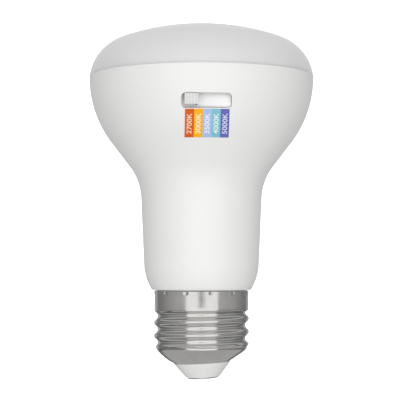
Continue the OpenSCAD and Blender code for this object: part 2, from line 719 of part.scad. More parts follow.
module contact_nail() color([0.8, 0.8, 0.78]) translate([0, 0, 1.2]) {
    cylinder(h = 7, r = 0.68);
    translate([0, 0, 6.8]) cylinder(h = 0.6, r = 1.1);
}

lens_dome();
lens_adhesive();
housing();
heat_sink();
thermal_pad();
led_board();
warm_leds();
warm_phosphor();
cool_leds();
cool_phosphor();
board_screws();
board_socket();
driver_board();
header_strip();
header_pins();
fusible_resistor();
varistor();
film_capacitor();
bulk_capacitor();
output_capacitor();
choke_core();
choke_winding();
component_leads();
bridge_rectifier();
driver_chip();
freewheel_diode();
channel_transistors();
chip_resistors();
chip_capacitors();
live_wire();
neutral_wire();
switch_wires();
switch_board();
switch_screws();
switch_base();
switch_terminals();
switch_cover();
switch_slider();
wiper_contact();
detent_ball();
detent_spring();
selector_knob();
switch_bezel();
scale_label();
screw_shell();
base_insulator();
centre_contact();
contact_nail();
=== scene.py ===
"""Reflector light bulb with a screw base and a five-step colour selector on its side.

The origin is the lowest point of the centre contact, +Z runs up the axis to the lens, and the selector
faces -Y. Lengths in the sections are in millimetres and become metres through mm.
"""
from math import asin, atan2, cos, degrees, hypot, pi, radians, sin, sqrt, tan

import bpy
from mathutils import Matrix, Vector


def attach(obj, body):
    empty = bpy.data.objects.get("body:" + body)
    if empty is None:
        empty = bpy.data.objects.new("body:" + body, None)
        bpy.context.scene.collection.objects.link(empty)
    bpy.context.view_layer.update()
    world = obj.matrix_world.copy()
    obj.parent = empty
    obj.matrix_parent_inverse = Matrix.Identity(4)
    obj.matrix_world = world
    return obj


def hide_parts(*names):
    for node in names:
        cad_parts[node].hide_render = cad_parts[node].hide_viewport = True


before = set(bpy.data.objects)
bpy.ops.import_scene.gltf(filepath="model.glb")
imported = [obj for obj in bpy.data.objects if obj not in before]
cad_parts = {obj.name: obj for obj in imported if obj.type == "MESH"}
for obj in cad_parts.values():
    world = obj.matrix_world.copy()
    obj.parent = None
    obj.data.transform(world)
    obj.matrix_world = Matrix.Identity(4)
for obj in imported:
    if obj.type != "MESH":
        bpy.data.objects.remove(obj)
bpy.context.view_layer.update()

mm = 0.001


# ---- Driver board and switch board ----
# Two boards of FR4, glass cloth in epoxy, under a green solder mask. The tall one slides between ribs in
# the neck and carries the supply, and the small one is screwed across the inside of the flare.
# The mask lets the weave of the cloth show faintly, and pools a little darker between the threads.
def linear(code):
    """The linear colour of an sRGB hex value."""
    parts = [int(code[i:i + 2], 16) / 255 for i in (1, 3, 5)]
    return [p / 12.92 if p <= 0.04045 else ((p + 0.055) / 1.055) ** 2.4 for p in parts] + [1]


def finish(name, colour, roughness, **even):
    """A new material, with the values that are even all over set on the shader's own sockets."""
    material = bpy.data.materials.new(name)
    material.use_nodes = True
    shader = material.node_tree.nodes["Principled BSDF"]
    shader.inputs["Base Color"].default_value = linear(colour)
    shader.inputs["Roughness"].default_value = roughness
    for socket, value in even.items():
        shader.inputs[socket.replace("_", " ").title().replace("Ior", "IOR")].default_value = value
    return material


def add(material, kind, feeds, sockets=None, **settings):
    """Adds a node, linking socket values that are outputs. feeds names the shader's input it drives."""
    tree = material.node_tree
    node = tree.nodes.new("ShaderNode" + kind)
    for name, value in settings.items():
        setattr(node, name, value)
    for name, value in (sockets or {}).items():
        if isinstance(value, bpy.types.NodeSocket):
            tree.links.new(value, node.inputs[name])
        else:
            node.inputs[name].default_value = value
    if feeds:
        out = next(o for o in node.outputs if o.enabled)
        tree.links.new(out, tree.nodes["Principled BSDF"].inputs[feeds])
    return node


def cloudy(material, low, high, size, depth, spread=0.5, fine=2):
    """Colour that wanders between two shades over size mm, and a surface that is depth mm uneven with it."""
    place = add(material, "TexCoord", None).outputs["Object"]
    cloud = add(material, "TexNoise", None, {"Vector": place, "Scale": 1 / (size * mm), "Detail": fine})
    shade = add(material, "MapRange", None, {"Value": cloud.outputs["Fac"], "From Min": 0.5 - spread / 2,
                                             "From Max": 0.5 + spread / 2}).outputs["Result"]
    add(material, "Mix", "Base Color", {"Factor": shade, 6: linear(low), 7: linear(high)},
        data_type="RGBA")
    add(material, "Bump", "Normal", {"Height": cloud.outputs["Fac"], "Distance": depth * mm,
                                     "Strength": 1.0})


def dress(material, *nodes):
    """Gives CAD nodes, which stay as they are, a material."""
    for node in nodes:
        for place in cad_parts[node].material_slots:
            place.material = material


glass_thread = 0.45
fr4 = finish("FR4_green_solder_mask", "#1E5A36", 0.38, coat_weight=0.3, coat_roughness=0.15)
place = add(fr4, "TexCoord", None).outputs["Object"]
warp = add(fr4, "TexWave", None, {"Vector": place, "Scale": pi / (10 * glass_thread * mm)},
           bands_direction="X")
weft = add(fr4, "TexWave", None, {"Vector": place, "Scale": pi / (10 * glass_thread * mm)},
           bands_direction="Z")
weave = add(fr4, "Math", None, {0: warp.outputs["Fac"], 1: weft.outputs["Fac"]}, operation="MULTIPLY")
add(fr4, "Mix", "Base Color", {"Factor": weave.outputs[0], 6: linear("#1B5231"), 7: linear("#256B42")},
    data_type="RGBA")
add(fr4, "Bump", "Normal", {"Height": weave.outputs[0], "Distance": 0.01 * mm})
dress(fr4, "driver_board", "switch_board")


# ---- Parts on the driver board ----
# Chips, diode and header strips are moulded in black epoxy or nylon; capacitors are cans in a heat-shrunk
# sleeve; the varistor and film capacitor are dipped in lacquer; the choke is copper on a ferrite bobbin.
epoxy = finish("black_moulded_epoxy", "#1D1D1E", 0.5)
cloudy(epoxy, "#191919", "#262627", 0.15, 0.01)
dress(epoxy, "header_strip", "bridge_rectifier", "driver_chip", "freewheel_diode", "channel_transistors")

lacquer = finish("blue_dipped_lacquer", "#1F4E8C", 0.3, coat_weight=0.5, coat_roughness=0.1)
cloudy(lacquer, "#1C467F", "#245A9E", 1.8, 0.06)
dress(lacquer, "varistor")
red_lacquer = finish("red_dipped_lacquer", "#8C2026", 0.3, coat_weight=0.5, coat_roughness=0.1)
cloudy(red_lacquer, "#7F1C21", "#9C272D", 1.8, 0.06)
dress(red_lacquer, "film_capacitor")
cement = finish("blue_grey_resistor_coat", "#5A7F94", 0.55)
cloudy(cement, "#52758A", "#638BA1", 0.5, 0.02)
dress(cement, "fusible_resistor")

sleeve = finish("heat_shrunk_PVC_sleeve", "#20223A", 0.32)
cloudy(sleeve, "#1C1E33", "#282B48", 2.5, 0.04)
dress(sleeve, "bulk_capacitor", "output_capacitor")

ferrite = finish("sintered_ferrite", "#3A3A3C", 0.6)
cloudy(ferrite, "#333335", "#454547", 0.2, 0.015)
dress(ferrite, "choke_core")

# Enamelled copper lies in turns 0.34 mm apart, raised as fine bands round the bobbin, with painted highlight
# on each turn and painted shade between turns.
turn_pitch = 0.34
copper = finish("enamelled_copper_wire", "#B0683A", 0.3, metallic=1.0, coat_weight=0.4)
place = add(copper, "TexCoord", None).outputs["Object"]
turns = add(copper, "TexWave", None, {"Vector": place, "Scale": pi / (10 * turn_pitch * mm)},
            bands_direction="Y")
# Painted highlight on each turn's crest and painted shade in the grooves between turns, following the bump.
add(copper, "Mix", "Base Color", {"Factor": turns.outputs["Fac"], 6: linear("#8E4F2A"),
                                  7: linear("#C47A48")}, data_type="RGBA")
add(copper, "Bump", "Normal", {"Height": turns.outputs["Fac"], "Distance": 0.12 * mm})
dress(copper, "choke_winding")

ceramic = finish("chip_resistor_glaze", "#26262A", 0.4)
cloudy(ceramic, "#202024", "#303036", 0.3, 0.01)
dress(ceramic, "chip_resistors")
titanate = finish("barium_titanate_ceramic", "#9A8060", 0.45)
cloudy(titanate, "#8F7557", "#A88D6B", 0.3, 0.01)
dress(titanate, "chip_capacitors")

tinned = finish("tinned_copper_wire", "#C9C9C6", 0.32, metallic=1.0)
cloudy(tinned, "#BDBDBA", "#D6D6D3", 0.4, 0.01)
dress(tinned, "component_leads", "neutral_wire", "switch_terminals")
brass = finish("rolled_brass", "#C9A35A", 0.3, metallic=1.0)
cloudy(brass, "#BE984F", "#D6B068", 0.4, 0.008)
dress(brass, "header_pins", "wiper_contact")

red_vinyl = finish("red_PVC_insulation", "#B3201D", 0.45)
cloudy(red_vinyl, "#A81C1A", "#BF2623", 0.6, 0.02)
dress(red_vinyl, "live_wire")
white_vinyl = finish("white_PVC_insulation", "#E2E2DC", 0.45)
cloudy(white_vinyl, "#DADAD3", "#EAEAE4", 0.6, 0.02)
dress(white_vinyl, "switch_wires")


# ---- Heat sink and light engine ----
# A pressed aluminium cup fills the flare, with a soft pad under an aluminium-cored board in white mask.
# Eighteen PLCC packages in two colour temperatures stand on it round a nylon socket, held by three screws.
# Pressing leaves the cup satin, with faint streaks that run up its side.
aluminium = finish("pressed_aluminium", "#C2C5C9", 0.36, metallic=1.0)
place = add(aluminium, "TexCoord", None).outputs["Object"]
stretch = add(aluminium, "Mapping", None, {"Vector": place, "Scale": (1, 1, 0.08)})
streaks = add(aluminium, "TexNoise", None, {"Vector": stretch.outputs[0], "Scale": 1 / (0.5 * mm)})
add(aluminium, "MapRange", "Roughness", {"Value": streaks.outputs["Fac"], "To Min": 0.28, "To Max": 0.46})
add(aluminium, "Bump", "Normal", {"Height": streaks.outputs["Fac"], "Distance": 0.006 * mm})
dress(aluminium, "heat_sink")

silicone_pad = finish("grey_blue_silicone_pad", "#B4BCD0", 0.7)
cloudy(silicone_pad, "#ABB3C8", "#BFC7D9", 0.4, 0.02)
dress(silicone_pad, "thermal_pad")

white_mask = finish("white_solder_mask", "#EEEEEA", 0.35, coat_weight=0.2)
cloudy(white_mask, "#E6E6E1", "#F4F4F0", 0.6, 0.012)
dress(white_mask, "led_board")

package = finish("PPA_led_package", "#F2F1EA", 0.4)
cloudy(package, "#ECEBE3", "#F7F6F0", 0.25, 0.008)
dress(package, "warm_leds", "cool_leds")

# Phosphor grains, about 20 microns across, are drawn four times that so that they show.
warm_gel = finish("amber_phosphor_in_silicone", "#E8A23C", 0.25, subsurface_weight=0.2)
cloudy(warm_gel, "#DE9430", "#F2B350", 0.08, 0.004)
dress(warm_gel, "warm_phosphor")
cool_gel = finish("yellow_phosphor_in_silicone", "#EBDD62", 0.25, subsurface_weight=0.2)
cloudy(cool_gel, "#E2D250", "#F3E77A", 0.08, 0.004)
dress(cool_gel, "cool_phosphor")

nylon = finish("natural_nylon_socket", "#ECE8DA", 0.45, subsurface_weight=0.1)
cloudy(nylon, "#E6E1D1", "#F2EFE4", 0.5, 0.01)
dress(nylon, "board_socket")

zinc = finish("zinc_plated_steel", "#C4C6C8", 0.28, metallic=1.0)
cloudy(zinc, "#B5B8BB", "#D2D4D6", 0.7, 0.006)
dress(zinc, "board_screws", "switch_screws", "switch_cover", "detent_ball", "detent_spring")


# ---- Selector switch ----
# A five-step slide switch: a phenolic base with riveted terminals, a steel cover folded over it, and a
# slider of black acetal whose stem carries the knob.
# Phenolic board is paper in resin, brown with fibres that show as short flecks.
phenolic = finish("phenolic_paper_board", "#5E3A22", 0.5)
place = add(phenolic, "TexCoord", None).outputs["Object"]
along = add(phenolic, "Mapping", None, {"Vector": place, "Scale": (0.2, 1, 1)})
fibres = add(phenolic, "TexNoise", None, {"Vector": along.outputs[0], "Scale": 1 / (0.2 * mm)})
add(phenolic, "Mix", "Base Color", {"Factor": fibres.outputs["Fac"], 6: linear("#4E2F1B"),
                                    7: linear("#6F472C")}, data_type="RGBA")
add(phenolic, "Bump", "Normal", {"Height": fibres.outputs["Fac"], "Distance": 0.01 * mm})
dress(phenolic, "switch_base")

acetal = finish("black_acetal", "#161617", 0.35)
cloudy(acetal, "#131314", "#1F1F20", 0.5, 0.008)
dress(acetal, "switch_slider")


# ---- Housing ----
# One moulding in white PBT: a flare, a neck and a ribbed spigot that the screw shell is crimped on.
# A tumbled mould finish leaves it satin, with a fine even grain and no parting line on its sides.
bulb_d, seam_z, widest_z = 62.2, 83.7, 83.4
flare_r, flare_angle, fillet_r = 29.5, 37.5, 15.4
neck_r, neck_z, neck_taper = 16.7, 50.0, 2.5
foot_r, foot_z, lip_z, wall = 15.0, 31.8, 24.6, 1.4
floor_z, core_z0, core_z1 = lip_z + 1.3, lip_z + 0.2, 80
bore_r, spigot_foot_r, spigot_r, spigot_neck_r = 10.6, 11.6, 12.5, 12.1
spigot_z0, spigot_step_z, spigot_z1 = 10.5, 19.3, 23.25
rib_x, rib_half, rib_t, rib_z0, rib_z1 = 15.5, 4.5, 0.7, 25, 50
slot_w, slot_h, slot_z, slot_corner = 13.1, 3.9, 74.1, 1.0
post_x, post_r, pilot_r, switch_board_y = 10.5, 2.0, 0.9, -21.0

flare_c = Vector((bulb_d / 2 - flare_r, widest_z))
cone_n = Vector((cos(radians(flare_angle)), -sin(radians(flare_angle))))
cone_t = Vector((-sin(radians(flare_angle)), -cos(radians(flare_angle))))
neck_n = Vector((cos(radians(neck_taper)), -sin(radians(neck_taper))))
fillet_free = flare_c + (flare_r + fillet_r) * cone_n
cone_l = (fillet_r - (fillet_free - Vector((neck_r, neck_z))).dot(neck_n)) / cone_t.dot(neck_n)
fillet_c = fillet_free + cone_l * cone_t
foot_c = Vector((neck_r - (neck_z - foot_z) * tan(radians(neck_taper)), foot_z)) - foot_r * neck_n


def arc(centre, radius, first, last, step):
    """Points on an arc from one angle to another, in degrees, at most step mm apart."""
    count = max(2, round(abs(radians(last - first)) * radius / step))
    angles = [radians(first + (last - first) * i / count) for i in range(count + 1)]
    return [(centre[0] + radius * cos(a), centre[1] + radius * sin(a)) for a in angles]


def housing_side(depth, low, high):
    """The housing's side from height low up to high, a depth in from its outside."""
    foot = foot_r - depth
    flare = flare_r - depth
    start = degrees(asin((low - foot_c[1]) / foot))
    end = degrees(asin((high - flare_c[1]) / flare))
    return (arc(foot_c, foot, start, -neck_taper, 1.0)
            + arc(fillet_c, fillet_r + depth, 180 - neck_taper, 180 - flare_angle, 0.8)
            + arc(flare_c, flare, -flare_angle, end, 1.1))


def eased(points, corner, radius):
    """The outline with one corner rounded off by a short two-step cut of that radius."""
    before, here, after = (Vector(points[corner + i]) for i in (-1, 0, 1))
    first = here + (before - here).normalized() * radius
    last = here + (after - here).normalized() * radius
    middle = (first + last) / 2 * 0.55 + here * 0.45
    return points[:corner] + [tuple(first), tuple(middle), tuple(last)] + points[corner + 1:]


def edit(piece):
    """Only this piece is selected, in edit mode, with all of it selected."""
    bpy.ops.object.select_all(action="DESELECT")
    piece.select_set(True)
    bpy.context.view_layer.objects.active = piece
    bpy.ops.object.mode_set(mode="EDIT")
    bpy.ops.mesh.select_all(action="SELECT")


def turned(name, outline, sides):
    """A shape turned on the axis: a point is drawn out along the outline, in mm, and spun once round."""
    bpy.ops.object.select_all(action="DESELECT")
    bpy.ops.mesh.primitive_plane_add(size=mm, location=(outline[0][0] * mm, 0, outline[0][1] * mm))
    piece = bpy.context.object
    piece.name = name
    bpy.ops.object.mode_set(mode="EDIT")
    bpy.ops.mesh.merge(type="CENTER")
    for here, there in zip(outline, outline[1:] + outline[:1]):
        move = ((there[0] - here[0]) * mm, 0, (there[1] - here[1]) * mm)
        if hypot(move[0], move[2]) > 1e-7:
            bpy.ops.mesh.extrude_region_move(TRANSFORM_OT_translate={"value": move})
    bpy.ops.mesh.select_all(action="SELECT")
    bpy.ops.mesh.spin(steps=sides, angle=2 * pi, center=(0, 0, 0), axis=(0, 0, 1))
    bpy.ops.mesh.select_all(action="SELECT")
    bpy.ops.mesh.remove_doubles(threshold=0.002 * mm)
    bpy.ops.mesh.normals_make_consistent(inside=False)
    bpy.ops.object.mode_set(mode="OBJECT")
    bpy.ops.object.transform_apply(location=True, rotation=True, scale=True)
    return piece


def block(name, low, high):
    """A square-edged block between two corners, in mm, to be shaped further."""
    middle = [(a + b) / 2 * mm for a, b in zip(low, high)]
    bpy.ops.object.select_all(action="DESELECT")
    bpy.ops.mesh.primitive_cube_add(size=mm, location=middle)
    bpy.context.object.name = name
    bpy.context.object.scale = [b - a for a, b in zip(low, high)]
    bpy.ops.object.transform_apply(location=True, rotation=True, scale=True)
    return bpy.context.object


def rod(name, radius, start, end, sides=48):
    """A round bar from one point to another, in mm."""
    start, end = Vector(start) * mm, Vector(end) * mm
    turn = (end - start).to_track_quat("Z", "Y").to_euler()
    bpy.ops.object.select_all(action="DESELECT")
    bpy.ops.mesh.primitive_cylinder_add(vertices=sides, radius=radius * mm, depth=(end - start).length,
                                        location=(start + end) / 2, rotation=turn)
    bpy.context.object.name = name
    bpy.ops.object.transform_apply(location=True, rotation=True, scale=True)
    return bpy.context.object


def apply(piece, kind, **settings):
    """Adds a modifier and applies it."""
    bpy.ops.object.select_all(action="DESELECT")
    piece.select_set(True)
    bpy.context.view_layer.objects.active = piece
    modifier = piece.modifiers.new(kind.title(), kind)
    for name, value in settings.items():
        setattr(modifier, name, value)
    bpy.ops.object.modifier_apply(modifier=modifier.name)


def combine(piece, how, *others):
    """Joins, cuts or meets a piece with others, which are used up."""
    for other in others:
        apply(piece, "BOOLEAN", operation=how, object=other, solver="EXACT")
        bpy.data.objects.remove(other)


def round_edges(piece, radius, along, segments=4):
    """Rounds the edges of a block that run along one axis: 0 for X, 1 for Y, 2 for Z."""
    edit(piece)
    bpy.ops.mesh.select_all(action="DESELECT")
    bpy.ops.object.mode_set(mode="OBJECT")
    points = piece.data.vertices
    for edge in piece.data.edges:
        run = (points[edge.vertices[1]].co - points[edge.vertices[0]].co).normalized()
        edge.select = abs(run[along]) > 0.99
    bpy.ops.object.mode_set(mode="EDIT")
    bpy.ops.mesh.select_mode(type="EDGE")
    bpy.ops.mesh.bevel(offset=radius * mm, segments=segments)
    bpy.ops.mesh.select_mode(type="VERT")
    bpy.ops.object.mode_set(mode="OBJECT")


def show(piece, body, material, slot, *nodes):
    """Smooths a piece, and gives it its material and body, and hides the CAD nodes it stands for. Its slot
    is not used.
    """
    bpy.ops.object.select_all(action="DESELECT")
    piece.select_set(True)
    bpy.context.view_layer.objects.active = piece
    bpy.ops.object.shade_smooth_by_angle(angle=radians(30))
    piece.data.materials.clear()
    piece.data.materials.append(material)
    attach(piece, body)
    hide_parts(*nodes)


outside = housing_side(0, lip_z, seam_z)
inside = housing_side(wall, floor_z, seam_z)
spigot = [(bore_r, floor_z), (bore_r, spigot_z0), (spigot_foot_r, spigot_z0),
          (spigot_foot_r, spigot_step_z), (spigot_r, spigot_step_z), (spigot_r, spigot_z1),
          (spigot_neck_r, spigot_z1), (spigot_neck_r, lip_z)]
profile = inside[::-1] + spigot + outside
profile = eased(profile, len(inside) + len(spigot), 0.3)
housing = turned("housing_shell", eased(profile + profile[:1], len(profile) - 1, 0.04), 192)

# Ribs and posts are made too long and trimmed to a core that ends halfway through the wall.
core_side = housing_side(wall / 2, core_z0, core_z1)
inner_core = turned("inner_core", [(0, core_z0)] + core_side + [(0, core_z1)], 96)
ribs = [block("rib", (side * rib_x - rib_half, y, rib_z0), (side * rib_x + rib_half, y + rib_t, rib_z1))
        for side in (-1, 1) for y in (2.2, 4.3)]
posts = [rod("post", post_r, (side * post_x, -30, slot_z), (side * post_x, switch_board_y, slot_z))
         for side in (-1, 1)]
inner_parts = ribs[0]
combine(inner_parts, "UNION", *ribs[1:], *posts)
combine(inner_parts, "INTERSECT", inner_core)
combine(housing, "UNION", inner_parts)

window = block("window", (-slot_w / 2, -36, slot_z - slot_h / 2), (slot_w / 2, -23, slot_z + slot_h / 2))
round_edges(window, slot_corner, 1, 6)
pilots = [rod("pilot", pilot_r, (side * post_x, -25, slot_z),
              (side * post_x, switch_board_y + 1, slot_z), 24) for side in (-1, 1)]
wire_groove = block("wire_groove", (10.8, -0.7, 9.5), (12.2, 0.7, 15.5))
combine(housing, "DIFFERENCE", window, *pilots, wire_groove)

pbt = finish("satin_moulded_PBT", "#F1F1F0", 0.42)
cloudy(pbt, "#EFEFEE", "#F3F3F2", 0.3, 0.006)
show(housing, "lamp", pbt, "white_housing", "housing")


# ---- Lens ----
# A dome of opal polycarbonate, 1.3 mm thick, whose skirt is glued inside the housing's rim.
# Its diffusing filler scatters light inside the wall, which makes it an even pale grey when unlit.
lens_h, crown_r, shoulder_r, lens_wall, skirt_gap, skirt_h = 14.4, 68.0, 12.5, 1.3, 0.3, 3.8
crown_c = Vector((0, seam_z + lens_h - crown_r))
rim = Vector((bulb_d / 2, seam_z))
reach = crown_r - shoulder_r
between = crown_c - rim
middle = (shoulder_r ** 2 - reach ** 2 + between.length ** 2) / (2 * between.length)
aside = sqrt(shoulder_r ** 2 - middle ** 2)
foot_point = rim + between.normalized() * middle
across = Vector((-between[1], between[0])).normalized()
shoulder_c = max((foot_point + across * aside, foot_point - across * aside), key=lambda p: p[1])
to_shoulder = shoulder_c - crown_c
to_rim = rim - shoulder_c
top_angle = degrees(atan2(to_shoulder.y, to_shoulder.x))
rim_angle = degrees(atan2(to_rim.y, to_rim.x))
skirt_r = flare_c[0] + sqrt((flare_r - wall) ** 2 - (widest_z - seam_z) ** 2) - skirt_gap


def lens_side(depth, start):
    """The lens's outline from its rim to the middle of the crown, a depth in from its outside."""
    shoulder = arc(shoulder_c, shoulder_r - depth, start, top_angle, 0.7)
    return shoulder + arc(crown_c, crown_r - depth, top_angle, 90, 1.4)[1:]


inner_start = degrees(asin((seam_z + 1 - shoulder_c[1]) / (shoulder_r - lens_wall)))
outer = lens_side(0, rim_angle)
inner = lens_side(lens_wall, inner_start)
outer[-1] = (0, outer[-1][1])
inner[-1] = (0, inner[-1][1])
skirt = [(skirt_r - lens_wall, seam_z + 1), (skirt_r - lens_wall, seam_z - skirt_h),
         (skirt_r, seam_z - skirt_h), (skirt_r, seam_z)]
lens_profile = inner[::-1] + skirt + outer
corner = len(inner) + len(skirt)
lens = turned("lens_shell", eased(lens_profile, corner, 0.02), 192)

opal = finish("opal_polycarbonate", "#EBEBEB", 0.5, subsurface_weight=0.6, subsurface_scale=0.004,
              sheen_weight=0.95, sheen_roughness=0.4)
opal.node_tree.nodes["Principled BSDF"].inputs["Subsurface Radius"].default_value = (1, 1, 1)
cloudy(opal, "#EAEAEA", "#ECECEC", 0.35, 0.005)
show(lens, "lamp", opal, "frosted_lens", "lens_dome")

# A bead of clear-white silicone fills the ring between the skirt and the housing.
adhesive = finish("white_silicone_bead", "#EFEFEA", 0.5, subsurface_weight=0.2)
cloudy(adhesive, "#E9E9E3", "#F4F4F0", 0.9, 0.03)
dress(adhesive, "lens_adhesive")


# ---- Screw shell ----
# A cup of nickel-plated brass, 0.35 mm thick, drawn and then rolled to the thread, seven turns to the inch.
# Twelve punched dimples crimp its collar on the spigot. Rolling leaves it bright, with faint streaks that
# run round it.
collar_r, collar_z1, sheet = 13.05, 24.4, 0.35
thread_z0, thread_z1, thread_pitch, thread_depth, thread_zero = 8.9, 19.3, 3.629, 1.0, 17.1
thread_in_r, thread_mean_r, fade = 12.15, 12.6, 0.9
plain_low_r, plain_high_r, wall_middle_r = 12.6, 13.02, 12.9
# Crest and root are arcs tangent to each other, whose radii add up to what the pitch and depth leave.
half_pitch = thread_pitch / 2
arcs_r = (half_pitch ** 2 + thread_depth ** 2) / (2 * thread_depth)
crest_arc_r = 0.85
root_arc_r = arcs_r - crest_arc_r
thread_tilt = tan(radians(1.4))
insulator_r, insulator_z = 7.7, 4.77
crimps, crimp_z, crimp_start = 12, 23.85, -81.4
crimp_r, crimp_depth = 0.62, 0.34


def thread_r(height, angle):
    """Radius of the middle-height wave of the thread's outside at a height and an angle, in mm."""
    tilt = thread_tilt * thread_mean_r * cos(angle)
    turns = (height + tilt - thread_zero) / thread_pitch - angle / (2 * pi)
    away = abs((turns + 0.5) % 1 - 0.5) * thread_pitch
    if away < half_pitch * crest_arc_r / arcs_r:
        rise = thread_depth - crest_arc_r + sqrt(crest_arc_r ** 2 - away ** 2)
    else:
        rise = root_arc_r - sqrt(root_arc_r ** 2 - (half_pitch - away) ** 2)
    wave = thread_in_r + rise
    plain = plain_low_r if height < (thread_z0 + thread_z1) / 2 else plain_high_r
    ends = min(height - thread_z0, thread_z1 - height) / fade
    share = max(0.0, min(1.0, ends))
    share = share * share * (3 - 2 * share)
    return plain + (wave - plain) * share


def even(first, last, step):
    """Heights from first to last, step mm apart or less, the first left out."""
    count = round(abs(last - first) / step)
    return [first + (last - first) * (i + 1) / count for i in range(count)]


climb = even(thread_z0, thread_z1, 0.17)
collar = even(thread_z1, crimp_z - 0.7, 0.5) + even(crimp_z - 0.7, collar_z1 - 0.1, 0.1)
shell_profile = [(insulator_r - sheet, insulator_z + 0.3), (insulator_r - sheet, insulator_z),
                 (insulator_r + 0.12, insulator_z), (9.0, 5.48), (10.2, 6.3), (11.3, 7.15),
                 (12.15, 7.95), (12.55, 8.45), (12.65, thread_z0)]
shell_profile += [(plain_high_r, z) for z in climb] + [(collar_r, z) for z in collar]
shell_profile += [(collar_r - 0.1, collar_z1), (collar_r - sheet + 0.1, collar_z1)]
shell_profile += [(collar_r - sheet, z) for z in collar[::-1]]
shell_profile += [(plain_high_r - sheet, z) for z in climb[::-1]]
shell_profile += [(12.3, thread_z0), (12.2, 8.55), (11.8, 8.15), (11.0, 7.4),
                  (9.9, 6.55), (8.8, 5.82)]
shell = turned("screw_shell_rolled", shell_profile, 320)

for point in shell.data.vertices:
    radius = hypot(point.co.x, point.co.y) / mm
    height = point.co.z / mm
    angle = atan2(point.co.y, point.co.x)
    new = radius
    if thread_z0 + 0.01 < height < thread_z1 - 0.01:
        new = thread_r(height, angle) - (sheet if radius < wall_middle_r else 0)
    if abs(height - crimp_z) < crimp_r:
        step = 360 / crimps
        off = (degrees(angle) - crimp_start + step / 2) % step - step / 2
        away = hypot(radians(off) * collar_r, height - crimp_z) / crimp_r
        if away < 1:
            new = radius - crimp_depth * (1 - away * away) ** 1.5
    point.co.x *= new / radius
    point.co.y *= new / radius

lean, lean_top, lean_blend = radians(3.0), 8.5, 3.0


def askew(piece):
    """Leans the foot of the base: below lean_top it drifts to +X, and its +X side stands higher."""
    for point in piece.data.vertices:
        drop = lean_top * mm - point.co.z
        if drop > 0:
            grip = min(1.0, drop / (lean_blend * mm))
            rise = tan(lean) * point.co.x * grip
            point.co.x += tan(lean) * drop
            point.co.z += rise


askew(shell)

nickel = finish("nickel_plated_brass", "#CCCBC9", 0.2, metallic=1.0)
place = add(nickel, "TexCoord", None).outputs["Object"]
round_it = add(nickel, "Mapping", None, {"Vector": place, "Scale": (0.12, 0.12, 1)})
streaks = add(nickel, "TexNoise", None, {"Vector": round_it.outputs[0], "Scale": 1 / (0.35 * mm),
                                         "Detail": 3})
cloud = add(nickel, "TexNoise", None, {"Vector": place, "Scale": 1 / (3 * mm), "Detail": 3})
add(nickel, "MapRange", "Roughness", {"Value": cloud.outputs["Fac"], "From Min": 0.3, "From Max": 0.7,
                                      "To Min": 0.12, "To Max": 0.22})
add(nickel, "Mix", "Base Color", {"Factor": cloud.outputs["Fac"], 6: linear("#C2C1BF"),
                                  7: linear("#D8D7D5")}, data_type="RGBA")
add(nickel, "Bump", "Normal", {"Height": streaks.outputs["Fac"], "Distance": 0.004 * mm})
show(shell, "lamp", nickel, "nickel_plate", "screw_shell")


# ---- Insulator and centre contact ----
# A cone of white glass-filled resin closes the shell, and a tinned brass cap with a hollow stem is
# pressed into its middle. Both sit a little askew, as the shell's edge was rolled over them by hand press.
tip_r, tip_h, stem_r, stem_in_r, stem_top, dome_rise = 4.3, 0.6, 1.3, 0.7, 8.0, 0.35
cone_foot = Vector((tip_r + 0.35, tip_h + 0.1))
cone_rise = Vector((insulator_r - tip_r - 0.45, insulator_z - tip_h - 0.55))
cone = [(stem_r, tip_h + 0.02), (tip_r, tip_h + 0.02), tuple(cone_foot)]
cone += [tuple(cone_foot + cone_rise * t) for t in (0.25, 0.5, 0.75, 1.0)]
cone += [(insulator_r - 0.02, insulator_z - 0.25), (insulator_r - 0.05, insulator_z - 0.1),
         (insulator_r - 0.45, insulator_z), (insulator_r - 0.45, insulator_z + 1),
         (stem_r, insulator_z + 2.2)]
insulator = turned("insulator_cone", cone, 128)
askew(insulator)

glass_resin = finish("glass_filled_white_resin", "#EDEDEB", 0.35)
cloudy(glass_resin, "#E8E8E6", "#F1F1EF", 0.5, 0.01)
show(insulator, "lamp", glass_resin, "insulator", "base_insulator")

dome_r = (tip_r ** 2 + dome_rise ** 2) / (2 * dome_rise)
dome_edge = degrees(asin(tip_r / dome_r)) - 90
cap = [(0, 0.04)] + [(r, z + 0.04) for r, z in arc((0, dome_r), dome_r, -90, dome_edge, 0.5)[1:]]
cap += [(tip_r, tip_h), (stem_r, tip_h), (stem_r, stem_top), (stem_in_r, stem_top), (stem_in_r, 0.8),
        (0, 0.8)]
contact = turned("centre_contact_cap", eased(cap, len(cap) - 7, 0.12), 128)
askew(contact)

nail = turned("contact_nail_turned", [(0, 1.2), (0.5, 1.2), (0.68, 1.4), (0.68, stem_top), (1.1, stem_top),
                                      (1.1, 8.35), (0.85, 8.6), (0, 8.6)], 48)
askew(nail)
show(nail, "lamp", zinc, "plated_steel", "contact_nail")

tin = finish("solder_tinned_brass", "#C4C3BF", 0.34, metallic=1.0)
cloudy(tin, "#B4B3AE", "#D2D1CD", 1.2, 0.05)
show(contact, "lamp", tin, "solder_tinned_brass", "centre_contact")


